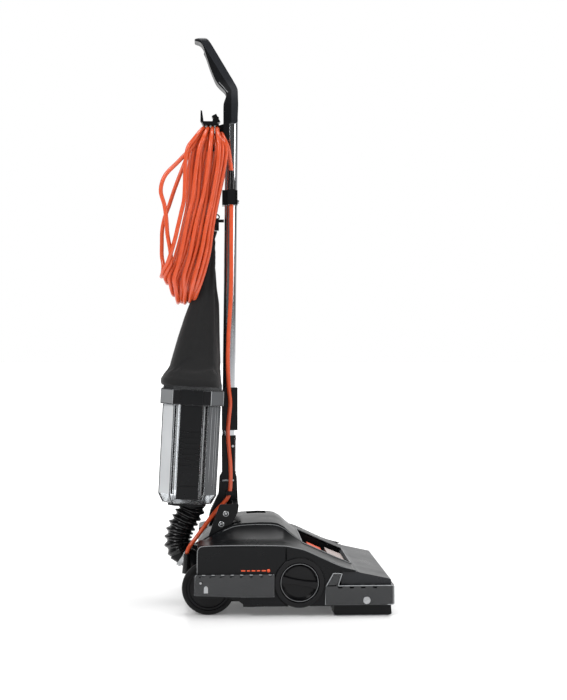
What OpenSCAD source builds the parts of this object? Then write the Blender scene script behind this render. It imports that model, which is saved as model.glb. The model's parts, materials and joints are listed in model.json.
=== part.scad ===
// Upright vacuum cleaner, millimetres.
// Origin: on the floor, below the middle of the machine's box. +X points to the nose,
// +Z up, and -Y is the side with the selector knob.

/* [Base] */
// Half of the width over the side skins
side_y = 185; // [180:1:190]
// Height of the flat shelf on top of the side skins
shelf_z = 135; // [133:1:137]
// Height of the chassis floor above the ground
belly_z = 19; // [18:1:21]
// Wall of the moulded covers
wall = 3; // [2.5:0.5:3.5]
// Half of the width of the raised dome over the motor
dome_y = 95; // [94:1:98]

/* [Wheels] */
// Radius of the rear tyres
wheel_r = 51; // [50:0.5:51]
// Distance of the rear axle behind the origin
wheel_x = -127.7; // [-130:0.1:-126]
// Half of the distance between the middles of the rear wheels
wheel_y = 152; // [150:1:154]
// Radius of the rear axle
axle_r = 4; // [3:0.5:5]

/* [Brush drive] */
// Distance of the motor shaft from the origin
motor_x = -40; // [-42:1:-38]
// Height of the motor shaft
motor_z = 95; // [94:1:96]
// Distance of the brush from the origin
brush_x = 168; // [166:1:170]
// Height of the brush axis
brush_z = 26; // [25.5:0.5:27]
// Radius of the motor pulley
motor_pulley_r = 9; // [8:0.5:10]
// Radius of the groove that the belt drives the brush by
brush_pulley_r = 13; // [12:0.5:14]

/* [Handle] */
// Distance of the handle pivot behind the origin
pivot_x = -118; // [-119:1:-117]
// Height of the handle pivot
pivot_z = 112; // [111:1:113]
// Half of the distance between the two bail limbs
bail_y = 80; // [79:1:81]
// Radius of the chrome tube
tube_r = 12.7; // [12.5:0.1:13]

/* [Cord] */
// Diameter of the power cord
cord_d = 8.4; // [8:0.2:9]

/* [Hidden] */
$fn = 64;
fit = 0.05;
gap = 0.4;
inner_y = side_y - wall;
tube_foot = [-88.6, 0, 262];
tube_lean = 0.62;
tube_length = 712;
cup_lean = 3;
outlet_x = 11;
knob_x = 45;
knob_z = 64.5;
knob_r = 37;
belt_y = -132;
belt_half = 4;
mouth_x = 212;
release_x = -136;
release_z = 88;
pedal_x = 84;
pedal_z = 97;
bolt_z = 806.5;
fan_y0 = 56;
fan_y1 = 88;
duct_z = 76;
cross_x = -112;
eps = 0.01;

// ---- Shape helpers -------------------------------------------------------

function unit(v) = v / norm(v);

// A closed outline whose corners are replaced by short smooth curves.
function rounded(points, reach, steps = 4) =
    let (count = len(points))
    [for (i = [0 : count - 1])
        let (corner = points[i],
             before = points[(i + count - 1) % count],
             after = points[(i + 1) % count],
             a = corner + unit(before - corner) * min(reach, norm(before - corner) / 2),
             b = corner + unit(after - corner) * min(reach, norm(after - corner) / 2))
        for (k = [0 : steps])
            let (t = k / steps)
            a * (1 - t) * (1 - t) + corner * 2 * t * (1 - t) + b * t * t];

// A plate whose outline is drawn with X across and Z up, between two Y planes.
module between_y(y0, y1) {
    translate([0, y1, 0]) rotate([90, 0, 0]) linear_extrude(height = y1 - y0) children();
}

module rod_x(r, x0, x1, y, z) {
    translate([x0, y, z]) rotate([0, 90, 0]) cylinder(r = r, h = x1 - x0);
}

module rod_y(r, y0, y1, x, z) {
    translate([x, y0, z]) rotate([-90, 0, 0]) cylinder(r = r, h = y1 - y0);
}

module box(low, high) {
    translate(low) cube(high - low);
}

module both_sides() {
    children();
    mirror([0, 1, 0]) children();
}

// The frame of the chrome tube: Z runs up along it.
module on_tube() {
    translate(tube_foot) rotate([0, tube_lean, 0]) children();
}

// ---- Base: structure -----------------------------------------------------

wheel_well = [[-190, 18], [-190, 112], [-70, 112], [-70, 18]];

module chassis() {
    color([0.07, 0.07, 0.075])
    difference() {
        union() {
            box([-149, -124, belly_z], [-60, 124, 60]);
            box([-62, -inner_y + 1, belly_z], [110, inner_y - 1, 57]);
        }
        box([-146, -121, belly_z + wall], [-59, 121, 61]);
        box([-59 - eps, -inner_y + 1 + wall, belly_z + wall], [107, inner_y - 1 - wall, 61]);
        rod_y(axle_r + fit, -125, 125, wheel_x, wheel_r);
        rod_y(knob_r + 13, -inner_y - 1, -149, knob_x, knob_z);
        both_sides() box([48, 40, 10], [74, 72, belly_z + wall + eps]);
        rod_x(19.4, -150, -140, 0, duct_z);
        box([100, fan_y1, 23.6], [111, 138.4, 61]);
        box([100, belt_y - 7, belly_z + wall], [111, belt_y + 7, 61]);
    }
    color([0.07, 0.07, 0.075]) {
        both_sides() difference() {
            box([wheel_x - 10, 100, belly_z + wall - eps], [wheel_x + 10, 112, 62]);
            rod_y(axle_r + fit, 99, 113, wheel_x, wheel_r);
        }
        both_sides() difference() {
            box([54, 74, belly_z + wall - eps], [68, 80, 44]);
            rod_y(3 + fit, 73, 81, 61, 30);
        }
        for (y = [92, 123]) difference() {
            box([-142, y, belly_z + wall - eps], [-130, y + 5, 95]);
            rod_y(3 + fit, y - 1, y + 6, release_x, release_z);
            rod_y(axle_r + fit, y - 1, y + 6, wheel_x, wheel_r);
        }
    }
}

module bottom_plate() {
    color([0.6, 0.61, 0.63])
    difference() {
        box([111, -178, 0], [216, 178, 2]);
        box([138, -150, -1], [mouth_x, 150, 3]);
    }
    color([0.6, 0.61, 0.63])
        for (y = [-100 : 50 : 100]) box([137, y - 1.5, 0], [mouth_x + 1, y + 1.5, 2]);
}

module nozzle_housing() {
    outer = rounded([[110.5, 2], [222, 2], [220, 12], [219, 56], [110.5, 56]], 6);
    color([0.06, 0.06, 0.065])
    difference() {
        between_y(-inner_y, inner_y) polygon(outer);
        rod_y(26.8, -inner_y + 9, inner_y - 9, brush_x, brush_z);
        box([139, -inner_y + 9, 1], [mouth_x, inner_y - 9, 23]);
        box([113.5, -inner_y + 9, 1], [139, inner_y - 9, 5]);
        box([110, 100, 22], [150, 142, 50]);
        box([109, belt_y - 7, 8], [154, belt_y + 7, 57]);
        both_sides() box([brush_x - 11, inner_y - 9.01, brush_z - 11],
                         [brush_x + 11, inner_y - 3, brush_z + 11]);
    }
}

module nose_cover() {
    outer = [[125, 56.3], [220, 56.3], [220.3, 68], [219, 69.8], [160, 82.4], [156, 84.5], [125, 84.5]];
    inner = [[124, 55], [217, 55], [217, 67.4], [159, 79.5], [155, 81.6], [124, 81.6]];
    color([0.2, 0.21, 0.225])
    difference() {
        between_y(-180, 180) polygon(rounded(outer, 3));
        between_y(-177, 177) polygon(inner);
        box([120, -recess_half - 0.1, 50], [148, recess_half + 0.1, 90]);
    }
}

// Side view of the low shelf that runs along both flanks.
flank = [[-149, 79.5], [-147, 131], [-140, shelf_z], [17, shelf_z], [53, 127.5],
         [120, 97.5], [124, 96], [124, 62], [-60, 62], [-60, 79.5]];

// Side view of the dome between the two flanks.
dome = [[-149, 60.5], [-149, 121], [-137, 132], [-92, 160], [-70, 167], [-28, 169.5],
        [4, 168.5], [22, 160], [58, 129], [152, 86.5], [152, 60.5]];

// The same dome, one wall further in.
dome_inside = [[-146, 60], [-146, 119.5], [-135, 129], [-91, 156.8], [-69.5, 164], [-28, 166.4],
               [3, 165.4], [20.5, 157.4], [56.5, 126.2], [149, 84.3], [149, 60]];

// Clear space for the open foot recess in the sloping front of the hood.
recess = [[54, 66], [54, 150], [160, 150], [160, 66]];
recess_half = dome_y + 8;

module motor_hood() {
    color([0.1, 0.1, 0.108])
    difference() {
        union() {
            between_y(-inner_y, inner_y) polygon(flank);
            between_y(-dome_y - 9, dome_y + 9) polygon(rounded(dome, 6));
        }
        between_y(-inner_y + wall, inner_y - wall)
            polygon([[-146, 60], [-144, 129], [-139, 132], [16, 132], [52, 124.4], [121, 93.5], [121, 60]]);
        between_y(-dome_y - 6, dome_y + 6) polygon(dome_inside);
        between_y(-recess_half, recess_half) polygon(recess);
        both_sides() box([-160, bail_y - 5, 100], [-66, bail_y + 5, 180]);
        both_sides() between_y(129, 190) polygon(wheel_well);
        rod_x(21, -155, -140, 0, duct_z);
        rod_y(knob_r + 13, -inner_y - 1, -149, knob_x, knob_z);
        box([-50, 38, 167.5], [-10, 88, 175]);
        box([-151, 97, 78], [-143, 123, 114]);
        box([121, -inner_y - 1, 84.6], [160, inner_y + 1, 98]);
        box([121, -inner_y - 1, 60], [160, inner_y + 1, 85]);
    }
}

module side_skin() {
    skin = [[-149, 79], [-146.5, 131], [-142, shelf_z - 1], [17, shelf_z - 1], [53, 126.5], [124, 95],
            [155, 86.5], [122, 84], [114, 58], [108, 58], [108, 21], [50, belly_z], [-55, belly_z],
            [-70, 30], [-92, 37], [-149, 37]];
    difference() {
        between_y(inner_y + 0.1, side_y) polygon(skin);
        rod_y(2.4, inner_y - 1, side_y + 1, -142.5, 66);
    }
}

module side_panel_near() {
    color([0.075, 0.075, 0.08])
    difference() {
        mirror([0, 1, 0]) side_skin();
        rod_y(knob_r + 11, -side_y - 1, -inner_y + 1, knob_x, knob_z);
    }
}

module side_panel_far() {
    color([0.075, 0.075, 0.08]) side_skin();
}

module recess_tray() {
    color([0.04, 0.04, 0.045])
    difference() {
        between_y(-recess_half + 0.3, recess_half - 0.3)
            polygon([[54.3, 66], [54.3, 125.4], [147.5, 84], [147.5, 66]]);
        between_y(-recess_half + 3, recess_half - 3)
            polygon([[57, 69], [57, 135], [145, 135], [145, 78], [112, 78], [108, 69]]);
        box([72, 15, 60], [96, 63, 75]);
    }
    color([0.04, 0.04, 0.045]) {
        for (y = [10, 64]) box([pedal_x - 5, y, 68], [pedal_x + 5, y + 4, 96]);
        rod_y(2.45, 11, 67, pedal_x, pedal_z);
    }
}

module window_lens() {
    color([0.75, 0.76, 0.78, 0.4])
        between_y(-70, 40) polygon([[110, 78.4], [144.4, 78.4], [144.4, 84.4], [110, 98.6]]);
}

// ---- Base: guards, knob and screws ----------------------------------------

module rear_bumper(notch_count = 8) {
    difference() {
        union() {
            between_y(side_y + 0.1, side_y + 5)
                polygon(rounded([[-155, 42], [-152, 81.5], [-3, 81.5], [-3, 38], [-60, 38]], 4));
            box([-155, 176, 42.5], [-151.6, side_y + 4, 80]);
        }
        between_y(side_y - 1, side_y + 2.6)
            polygon([[-151.5, 45], [-150, 79], [-4.5, 79], [-4.5, 41], [-60, 41]]);
        for (i = [0 : notch_count - 1])
            box([-140 + 18 * i, side_y - 1, 78], [-134 + 18 * i, side_y + 6, 83]);
        rod_y(2.5, side_y, side_y + 6, -142.5, 66);
    }
}

module rear_bumper_far() {
    color([0.8, 0.82, 0.85, 0.4]) rear_bumper();
}

module rear_bumper_near() {
    color([0.8, 0.82, 0.85, 0.4]) mirror([0, 1, 0]) rear_bumper();
}

module bumper_plan(front_x, half, corner) {
    translate([94, -half]) square([front_x - corner - 94, 2 * half]);
    translate([93, -half + corner]) square([front_x - 93, 2 * half - 2 * corner]);
    for (y = [-half + corner, half - corner])
        translate([front_x - corner, y]) circle(r = corner);
}

module front_bumper() {
    color([0.8, 0.82, 0.85, 0.4])
    difference() {
        translate([0, 0, 22]) linear_extrude(height = 36) bumper_plan(226.4, 190, 16);
        translate([0, 0, 21]) linear_extrude(height = 35) bumper_plan(224, 187.6, 14);
        box([80, -185.2, 20], [221, 185.2, 70]);
        for (y = [-150 : 30 : 150]) box([221, y - 4, 54], [228, y + 4, 59]);
        for (x = [118, 140, 162, 184]) box([x, -195, 54], [x + 8, 195, 59]);
        both_sides() rod_y(3.3, 180, 195, 172.6, 31);
    }
}

module base_screws() {
    color([0.72, 0.73, 0.74]) both_sides() {
        rod_y(7, 190, 191, 172.6, 31);
        rod_y(3, inner_y, 192.4, 172.6, 31);
        rod_y(2.3, inner_y, 191, -142.5, 66);
    }
}

module selector_port() {
    color([0.06, 0.06, 0.065])
    difference() {
        rod_y(knob_r + 10.5, -186.5, -150, knob_x, knob_z);
        rod_y(knob_r + 1, -190, -156, knob_x, knob_z);
        rod_y(10, -157, -149, knob_x, knob_z);
    }
}

module selector_knob() {
    color([0.05, 0.05, 0.055]) {
        difference() {
            rod_y(knob_r, -185, -157.5, knob_x, knob_z);
            rod_y(knob_r - 4, -190, -180, knob_x, knob_z);
        }
        translate([knob_x, 0, knob_z]) rotate([0, 8, 0])
            box([-knob_r + 4.2, -189, -6], [knob_r - 4.2, -179.9, 6]);
        rod_y(9.5, -157.6, -146, knob_x, knob_z);
    }
}

// ---- Base: suction and drive ----------------------------------------------

module motor_case() {
    color([0.3, 0.31, 0.33])
    difference() {
        rod_y(47, -62, 54, motor_x, motor_z);
        rod_y(44, -58, 50, motor_x, motor_z);
        rod_y(6 + fit, -63, -57, motor_x, motor_z);
        rod_y(6 + fit, 49, 55, motor_x, motor_z);
    }
    color([0.3, 0.31, 0.33]) both_sides() difference() {
        box([motor_x - 30, 30, belly_z + wall + gap], [motor_x + 30, 36, 60]);
        rod_y(46.5, 29, 37, motor_x, motor_z);
    }
}

module motor_rotor() {
    color([0.62, 0.4, 0.25]) rod_y(26, -36, 36, motor_x, motor_z);
    color([0.7, 0.71, 0.73]) rod_y(6, -142, fan_y1 - 5, motor_x, motor_z);
}

module suction_fan() {
    color([0.72, 0.73, 0.75])
    difference() {
        union() {
            rod_y(50, fan_y0 + 6, fan_y0 + 8, motor_x, motor_z);
            rod_y(12, fan_y0 + 6, fan_y1 - 6, motor_x, motor_z);
            for (i = [0 : 7])
                translate([motor_x, 0, motor_z]) rotate([0, 45 * i, 0])
                    box([10, fan_y0 + 7, -1], [48, fan_y1 - 9, 1]);
        }
        rod_y(6, fan_y0, fan_y1, motor_x, motor_z);
    }
}

module fan_housing() {
    color([0.09, 0.09, 0.1])
    difference() {
        union() {
            rod_y(58, fan_y0, fan_y1, motor_x, motor_z);
            rod_x(13, -97.6, -60, 72, duct_z);
        }
        rod_y(54, fan_y0 + 3, fan_y1 - 3, motor_x, motor_z);
        rod_y(7, fan_y0 - 1, fan_y0 + 4, motor_x, motor_z);
        rod_y(18, fan_y1 - 4, fan_y1 + 1, motor_x, motor_z);
        rod_x(10.5, -98, -75, 72, duct_z);
    }
}

module intake_duct() {
    path = [[-62, 70], [-62, 120], [-18, 120], [20, 70], [109.5, 50], [109.5, 24], [20, 34], [-30, 70]];
    hollow = [[-59, 73], [-59, 117], [-19, 117], [19, 67], [110, 46.5], [110, 27.5], [21, 37.5], [-29, 73]];
    color([0.09, 0.09, 0.1])
    difference() {
        between_y(fan_y1 + 0.3, 138) polygon(path);
        between_y(fan_y1 + 3, 135) polygon(hollow);
        rod_y(18, fan_y1 - 1, fan_y1 + 4, motor_x, motor_z);
    }
}

hose_foot = [-181, 0, 93];
hose_dip = 32;

module exhaust_duct() {
    color([0.07, 0.07, 0.075])
    difference() {
        union() {
            rod_x(19, -158, cross_x, 0, duct_z);
            rod_y(14, 0, 87.7, cross_x, duct_z);
            translate(hose_foot) rotate([0, 90 + hose_dip, 0]) translate([0, 0, -16])
                cylinder(r = 20, h = 44);
        }
        rod_x(16, -156, cross_x - 2, 0, duct_z);
        rod_y(11, 0, 84.7, cross_x, duct_z);
        rod_x(10.5, cross_x, -90, 72, duct_z);
        translate(hose_foot) rotate([0, 90 + hose_dip, 0]) translate([0, 0, -17])
            cylinder(r = 17, h = 42);
    }
}

// The corrugated hose's middle line, from the base up to the cup.
hose_line = [[-187, 0, 97], [-190, 0, 112], [-189, 0, 128], [-184, 0, 146], [-174, 0, 165],
             [-164, 0, 183], [-158, 0, 200]];

function curve_point(points, t) =
    let (last = len(points) - 1, i = min(floor(t * last), last - 1), u = t * last - i,
         a = points[max(i - 1, 0)], b = points[i], c = points[i + 1], d = points[min(i + 2, last)])
    0.5 * (2 * b + (c - a) * u + (2 * a - 5 * b + 4 * c - d) * u * u
           + (3 * b - a - 3 * c + d) * u * u * u);

// Rings of a round tube along a smooth curve through the points.
function tube_rings(points, r, sides, rings) =
    [for (k = [0 : rings])
        let (here = curve_point(points, k / rings),
             ahead = curve_point(points, min(k / rings + 0.004, 1)),
             behind = curve_point(points, max(k / rings - 0.004, 0)),
             along = unit(ahead - behind),
             across = unit(cross(along, [0, 1, 0])),
             other = cross(along, across))
        for (s = [0 : sides - 1])
            here + r * (across * cos(360 * s / sides) + other * sin(360 * s / sides))];

module swept_tube(points, r, sides, rings) {
    walls = [for (k = [0 : rings - 1]) for (s = [0 : sides - 1])
        let (t = (s + 1) % sides, a = k * sides)
        [a + s, a + sides + s, a + sides + t, a + t]];
    start_cap = [[for (s = [0 : sides - 1]) s]];
    end_cap = [[for (s = [sides - 1 : -1 : 0]) rings * sides + s]];
    polyhedron(points = tube_rings(points, r, sides, rings), faces = concat(walls, start_cap, end_cap));
}

module hose() {
    color([0.05, 0.05, 0.055])
    difference() {
        union() {
            difference() {
                swept_tube(hose_line, 25, 20, 12);
                translate(hose_foot) rotate([0, 90 + hose_dip, 0]) translate([0, 0, -2])
                    cylinder(r = 40, h = 60);
            }
            translate(hose_foot) rotate([0, 90 + hose_dip, 0]) translate([0, 0, -18])
                cylinder(r = 22, h = 28);
        }
        translate(hose_foot) rotate([0, 90 + hose_dip, 0]) translate([0, 0, -16.2])
            cylinder(r = 20.3, h = 60);
        cup_frame() translate([outlet_x, 0, -210.4]) cylinder(r = 24.3, h = 60);
        cup_frame() translate([-60, -60, -203.4]) cube([120, 120, 60]);
    }
}

module hose_clamp() {
    color([0.75, 0.76, 0.78])
        translate(hose_foot) rotate([0, 90 + hose_dip, 0])
        difference() {
            cylinder(r = 24.5, h = 9);
            translate([0, 0, -1]) cylinder(r = 22.05, h = 12);
        }
}

module wheel_axle() {
    color([0.7, 0.71, 0.73]) rod_y(axle_r, -165, 165, wheel_x, wheel_r);
}

module wheel_hub() {
    color([0.09, 0.09, 0.095])
    difference() {
        union() {
            rod_y(42, wheel_y - 8, wheel_y + 8, wheel_x, wheel_r);
            rod_y(11, wheel_y - 13, wheel_y + 11, wheel_x, wheel_r);
        }
        rod_y(axle_r + fit, 130, 170, wheel_x, wheel_r);
        rod_y(37, wheel_y + 5, wheel_y + 9, wheel_x, wheel_r);
    }
    color([0.09, 0.09, 0.095]) difference() {
        rod_y(11, wheel_y + 4, wheel_y + 11, wheel_x, wheel_r);
        rod_y(axle_r + fit, 130, 170, wheel_x, wheel_r);
    }
}

module wheel_tyre() {
    color([0.13, 0.13, 0.135])
    difference() {
        translate([wheel_x, wheel_y, wheel_r]) rotate([90, 0, 0]) rotate_extrude()
            polygon([[42, -11], [48, -11], [wheel_r - 0.6, -8], [wheel_r, -4], [wheel_r, 4],
                     [wheel_r - 0.6, 8], [48, 11], [42, 11]]);
        rod_y(42, wheel_y - 9, wheel_y + 9, wheel_x, wheel_r);
    }
}

module wheel_near_hub() {
    mirror([0, 1, 0]) wheel_hub();
}

module wheel_near_tyre() {
    mirror([0, 1, 0]) wheel_tyre();
}

module wheel_far_hub() {
    wheel_hub();
}

module wheel_far_tyre() {
    wheel_tyre();
}

module front_rollers() {
    color([0.7, 0.71, 0.73]) rod_y(3, -82, 82, 61, 30);
    color([0.1, 0.1, 0.105]) both_sides() rod_y(11, 44, 68, 61, 30);
}

module brush_end_caps() {
    color([0.1, 0.1, 0.11]) both_sides() difference() {
        box([brush_x - 10.8, 164, brush_z - 10.8], [brush_x + 10.8, 178.8, brush_z + 10.8]);
        rod_y(5 + fit, 163, 176, brush_x, brush_z);
    }
}

module brush_roll() {
    color([0.55, 0.42, 0.28])
    difference() {
        union() {
            rod_y(16, -160, 160, brush_x, brush_z);
            rod_y(5, -174, 174, brush_x, brush_z);
        }
        rod_y(25, belt_y - belt_half - 1, belt_y + belt_half + 1, brush_x, brush_z);
    }
    color([0.55, 0.42, 0.28])
        rod_y(brush_pulley_r, belt_y - belt_half - 1.5, belt_y + belt_half + 1.5, brush_x, brush_z);
}

// Tufts stand in two rows that wind round the roll.
module brush_bristles() {
    color([0.05, 0.05, 0.05])
    for (i = [0 : 21])
        for (half_turn = [0, 180])
            translate([brush_x, -112 + 12.5 * i, brush_z]) rotate([0, 17 * i + half_turn, 0])
                translate([0, 0, 15]) cylinder(r = 3, h = 8.6);
}

module drive_pulley() {
    color([0.7, 0.71, 0.73])
    difference() {
        union() {
            rod_y(motor_pulley_r, belt_y - belt_half - 1.5, belt_y + belt_half + 1.5, motor_x, motor_z);
            rod_y(motor_pulley_r + 3, belt_y + belt_half + 1, belt_y + belt_half + 3, motor_x, motor_z);
            rod_y(motor_pulley_r + 3, belt_y - belt_half - 3, belt_y - belt_half - 1, motor_x, motor_z);
        }
        rod_y(6, belt_y - 20, belt_y + 20, motor_x, motor_z);
    }
}

// Outline of a belt at a given distance from the two pulleys.
module belt_outline(grow) {
    hull() {
        translate([motor_x, motor_z]) circle(r = motor_pulley_r + grow);
        translate([brush_x, brush_z]) circle(r = brush_pulley_r + grow);
    }
}

module drive_belt() {
    color([0.04, 0.04, 0.04])
    difference() {
        between_y(belt_y - belt_half, belt_y + belt_half) belt_outline(2.8);
        between_y(belt_y - belt_half - 1, belt_y + belt_half + 1) belt_outline(0.3);
    }
}

module pivot_brackets() {
    color([0.5, 0.51, 0.53]) both_sides() difference() {
        union() {
            box([pivot_x - 24, 62, 61], [pivot_x + 19.5, 70, 99]);
            box([pivot_x - 12, 62, 90], [pivot_x + 12, 70, pivot_z]);
            rod_y(12, 62, 70, pivot_x, pivot_z);
        }
        rod_y(7 + fit, 61, 71, pivot_x, pivot_z);
        rod_y(14.5, 61, 71, cross_x, duct_z);
    }
}

module foot_pedal() {
    color([0.85, 0.2, 0.08])
    difference() {
        union() {
            translate([pedal_x, 0, pedal_z + 2]) rotate([0, 24, 0]) box([-12, 20, -4], [19, 58, 4]);
            rod_y(5, 16, 62, pedal_x, pedal_z);
            box([pedal_x - 4, 34, 62], [pedal_x + 4, 44, pedal_z]);
        }
        rod_y(2.5, 14, 64, pedal_x, pedal_z);
    }
}

module release_pedal() {
    color([0.06, 0.06, 0.065]) {
        rod_y(7, 100, 120, release_x, release_z);
        rod_y(3, 91.5, 128.5, release_x, release_z);
        translate([release_x, 100, release_z]) rotate([0, 12, 0])
            box([-52, 0, -3.5], [-4, 20, 3.5]);
    }
}

// ---- Handle ----------------------------------------------------------------

module handle_bail() {
    limb = [[-128, 139], [-121, 160], [-106, 202], [-68, 203], [-70, 187],
            [-83, 162], [-104, 112], [-110, 103], [-118, 100], [-128, 105], [-130, 114]];
    color([0.06, 0.06, 0.065])
    difference() {
        union() {
            both_sides() between_y(bail_y - 2, bail_y + 2) polygon(rounded(limb, 4));
            box([-80.5, -bail_y + 1, 196], [-69, bail_y - 1, 202.6]);
            both_sides() rod_y(7, 61, bail_y + 1, pivot_x, pivot_z);
        }
        rod_y(2.4, -bail_y - 3, -bail_y + 3, -93.8, 184);
        rod_y(2.4, -bail_y - 3, -bail_y + 3, -102.7, 163.5);
        rod_y(2.4, bail_y - 3, bail_y + 3, -93.8, 184);
        rod_y(2.4, bail_y - 3, bail_y + 3, -102.7, 163.5);
    }
}

module screw_y(x, z, y, washer) {
    rod_y(washer, y, y + 1, x, z);
    rod_y(washer * 0.62, y + 1 - eps, y + 3.4, x, z);
    rod_y(2.4, y - 6, y + eps, x, z);
}

module handle_bolts() {
    color([0.75, 0.76, 0.78]) {
        both_sides() {
            screw_y(-93.8, 184, bail_y + 2, 5.4);
            screw_y(-102.7, 163.5, bail_y + 2, 5.4);
        }
        rod_y(2.6, -17, -15.1, -79, 312);
        rod_y(2.6, 15.1, 17, -79, 312);
        rod_x(2.4, -100.4, -66.4, 0, bolt_z);
        rod_x(4.6, -69.2, -66, 0, bolt_z);
    }
}

module lower_sleeve() {
    color([0.06, 0.06, 0.065])
    difference() {
        between_y(-15, 15) polygon([[-106, 250], [-101, 258], [-101.5, 333], [-73, 333], [-74, 258],
                                    [-71, 250], [-69, 203], [-98, 203], [-112, 168], [-128, 168],
                                    [-124, 183], [-108, 216]]);
        on_tube() cylinder(r = tube_r + fit, h = 120);
        between_y(-11, 11) polygon([[-102, 190], [-102, 250], [-76, 250], [-76, 190]]);
    }
}

module handle_tube() {
    color([0.85, 0.86, 0.88]) on_tube() difference() {
        cylinder(r = tube_r, h = tube_length);
        translate([0, 0, -1]) cylinder(r = tube_r - 1.3, h = tube_length + 2);
        translate([0, 0, bolt_z - tube_foot[2] - 0.5]) rotate([0, 90, 0])
            cylinder(r = 3.4, h = 60, center = true);
    }
}

module cup_bracket() {
    color([0.07, 0.07, 0.075])
    difference() {
        union() {
            box([-101.2, -15.5, 344], [-69.4, 15.5, 392]);
            box([-96.6, -15.5, 391], [-69.4, 15.5, 430]);
        }
        on_tube() cylinder(r = tube_r + fit, h = 220);
    }
}

module cord_clamps() {
    color([0.05, 0.05, 0.055]) {
        difference() {
            union() {
                box([-100.4, -17, 798], [-69.6, 17, 828]);
                box([-89.5, -28, 798], [-74.5, -16, 828]);
            }
            on_tube() cylinder(r = tube_r + fit, h = 700);
            rod_x(2.4 + fit, -101, -60, 0, bolt_z);
            translate([-82, -21.5, 790]) cylinder(r = cord_d / 2 + 0.1, h = 50);
        }
        difference() {
            box([-92, -27, 214], [-77, -15.1, 222]);
            translate([-84.7, -20.5, 210]) cylinder(r = cord_d / 2 + 0.1, h = 30);
        }
    }
}

module cord_boot() {
    color([0.05, 0.05, 0.055])
    difference() {
        translate([-82, -21.5, 828.2]) cylinder(r1 = 8, r2 = 5.8, h = 38);
        translate([-82, -21.5, 820]) cylinder(r = cord_d / 2 + 0.1, h = 60);
        on_tube() cylinder(r = tube_r + fit, h = 700);
    }
}

// Side view of the hand grip, from the socket at the tube up to the curled tip.
grip_outline = [[-98, 931], [-98, 1002], [-92, 1018], [-93.5, 1026], [-107, 1038.5], [-114, 1048],
                [-124, 1072], [-133, 1099], [-139, 1118], [-145, 1125], [-156, 1127.5],
                [-156, 1131.5], [-146, 1134.6], [-132, 1134.5], [-126, 1127], [-72, 1037.3],
                [-69, 1030.5], [-68, 1000], [-69.5, 963], [-88, 963], [-88, 931]];

// Line that parts the front and the rear shell.
grip_front_zone = [[-82, 900], [-82, 1030], [-96, 1050], [-146, 1131], [-158, 1140], [0, 1160], [0, 900]];

module grip_body() {
    intersection() {
        between_y(-22, 22) polygon(rounded(grip_outline, 5));
        rotate([90, 0, 90]) translate([0, 0, -200]) linear_extrude(height = 200)
            polygon(rounded([[-14.6, 925], [-14.6, 1000], [-16, 1020], [-21.5, 1045], [-21.5, 1120],
                             [-15, 1136], [15, 1136], [21.5, 1120], [21.5, 1045], [16, 1020],
                             [14.6, 1000], [14.6, 925]], 8));
    }
}

module grip_cavity() {
    on_tube() cylinder(r = tube_r + fit, h = tube_length + 6);
    box([-100.5, -4, 928], [-94.6, 4, 966]);
}

module grip_front() {
    color([0.2, 0.205, 0.215])
    difference() {
        intersection() {
            grip_body();
            between_y(-30, 30) polygon(grip_front_zone);
        }
        grip_cavity();
    }
}

module grip_rear() {
    color([0.05, 0.05, 0.055])
    difference() {
        grip_body();
        between_y(-30, 30) polygon(grip_front_zone);
        grip_cavity();
    }
}

module cord_hook() {
    color([0.06, 0.06, 0.065]) {
        between_y(-20, 20)
            polygon([[-138, 958.5], [-142, 966], [-116, 966], [-107, 961], [-107, 956], [-116, 958.5]]);
        between_y(-3, 3)
            polygon([[-140, 962], [-144.5, 968], [-144, 991], [-141, 990], [-137.5, 966], [-130, 962]]);
        between_y(-3.9, 3.9)
            polygon([[-108, 904], [-108, 960], [-94.8, 964], [-94.8, 932], [-99, 928], [-99, 904]]);
        rod_x(12, -138, -98.8, 0, 920);
        translate([-121, -11, 966 - eps]) rotate([0, 20, 0]) cube([10, 22, 14]);
        translate([-113, -12, 962]) rotate([0, -28, 0]) cube([10, 24, 18]);
    }
}

// ---- Dust cup and bag -------------------------------------------------------

module cup_frame() {
    translate([-161, 0, 397]) rotate([0, cup_lean, 0]) children();
}

// Plan of the cup: an octagon, long from side to side.
module cup_plan(half_x, half_y, cut) {
    polygon([[-half_x, -half_y + cut], [-half_x + cut, -half_y], [half_x - cut, -half_y],
             [half_x, -half_y + cut], [half_x, half_y - cut], [half_x - cut, half_y],
             [-half_x + cut, half_y], [-half_x, half_y - cut]]);
}

module cup_ring() {
    color([0.08, 0.08, 0.085]) cup_frame() difference() {
        union() {
            translate([0, 0, 0.3]) linear_extrude(height = 30) cup_plan(62, 80, 24);
            translate([0, 0, 30]) linear_extrude(height = 12) cup_plan(58, 76, 23);
        }
        translate([0, 0, -1]) linear_extrude(height = 50) cup_plan(55, 73, 22);
        translate([0, 0, -300]) translate([76, 0, 0]) cylinder(r = tube_r + 4.5, h = 500);
    }
}

// Box with cut corners whose foot narrows, from local height low up to high.
module cup_body(half_x, half_y, cut, low, high) {
    translate([0, 0, low + 18]) linear_extrude(height = high - low - 18) cup_plan(half_x, half_y, cut);
    hull() {
        translate([0, 0, low + 18]) linear_extrude(height = 1) cup_plan(half_x, half_y, cut);
        translate([0, 0, low]) linear_extrude(height = 1)
            cup_plan(half_x - 10.5, half_y - 11, cut - 6);
    }
}

module cup_shell() {
    color([0.85, 0.87, 0.9, 0.35]) cup_frame() difference() {
        cup_body(56.5, 75, 22, -196, 0);
        cup_body(54, 72.5, 21, -193, 12);
        translate([outlet_x, 0, -200]) cylinder(r = 24.2, h = 20);
        translate([-22, -80, -200]) cube([44, 7, 201]);
    }
}

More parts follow.
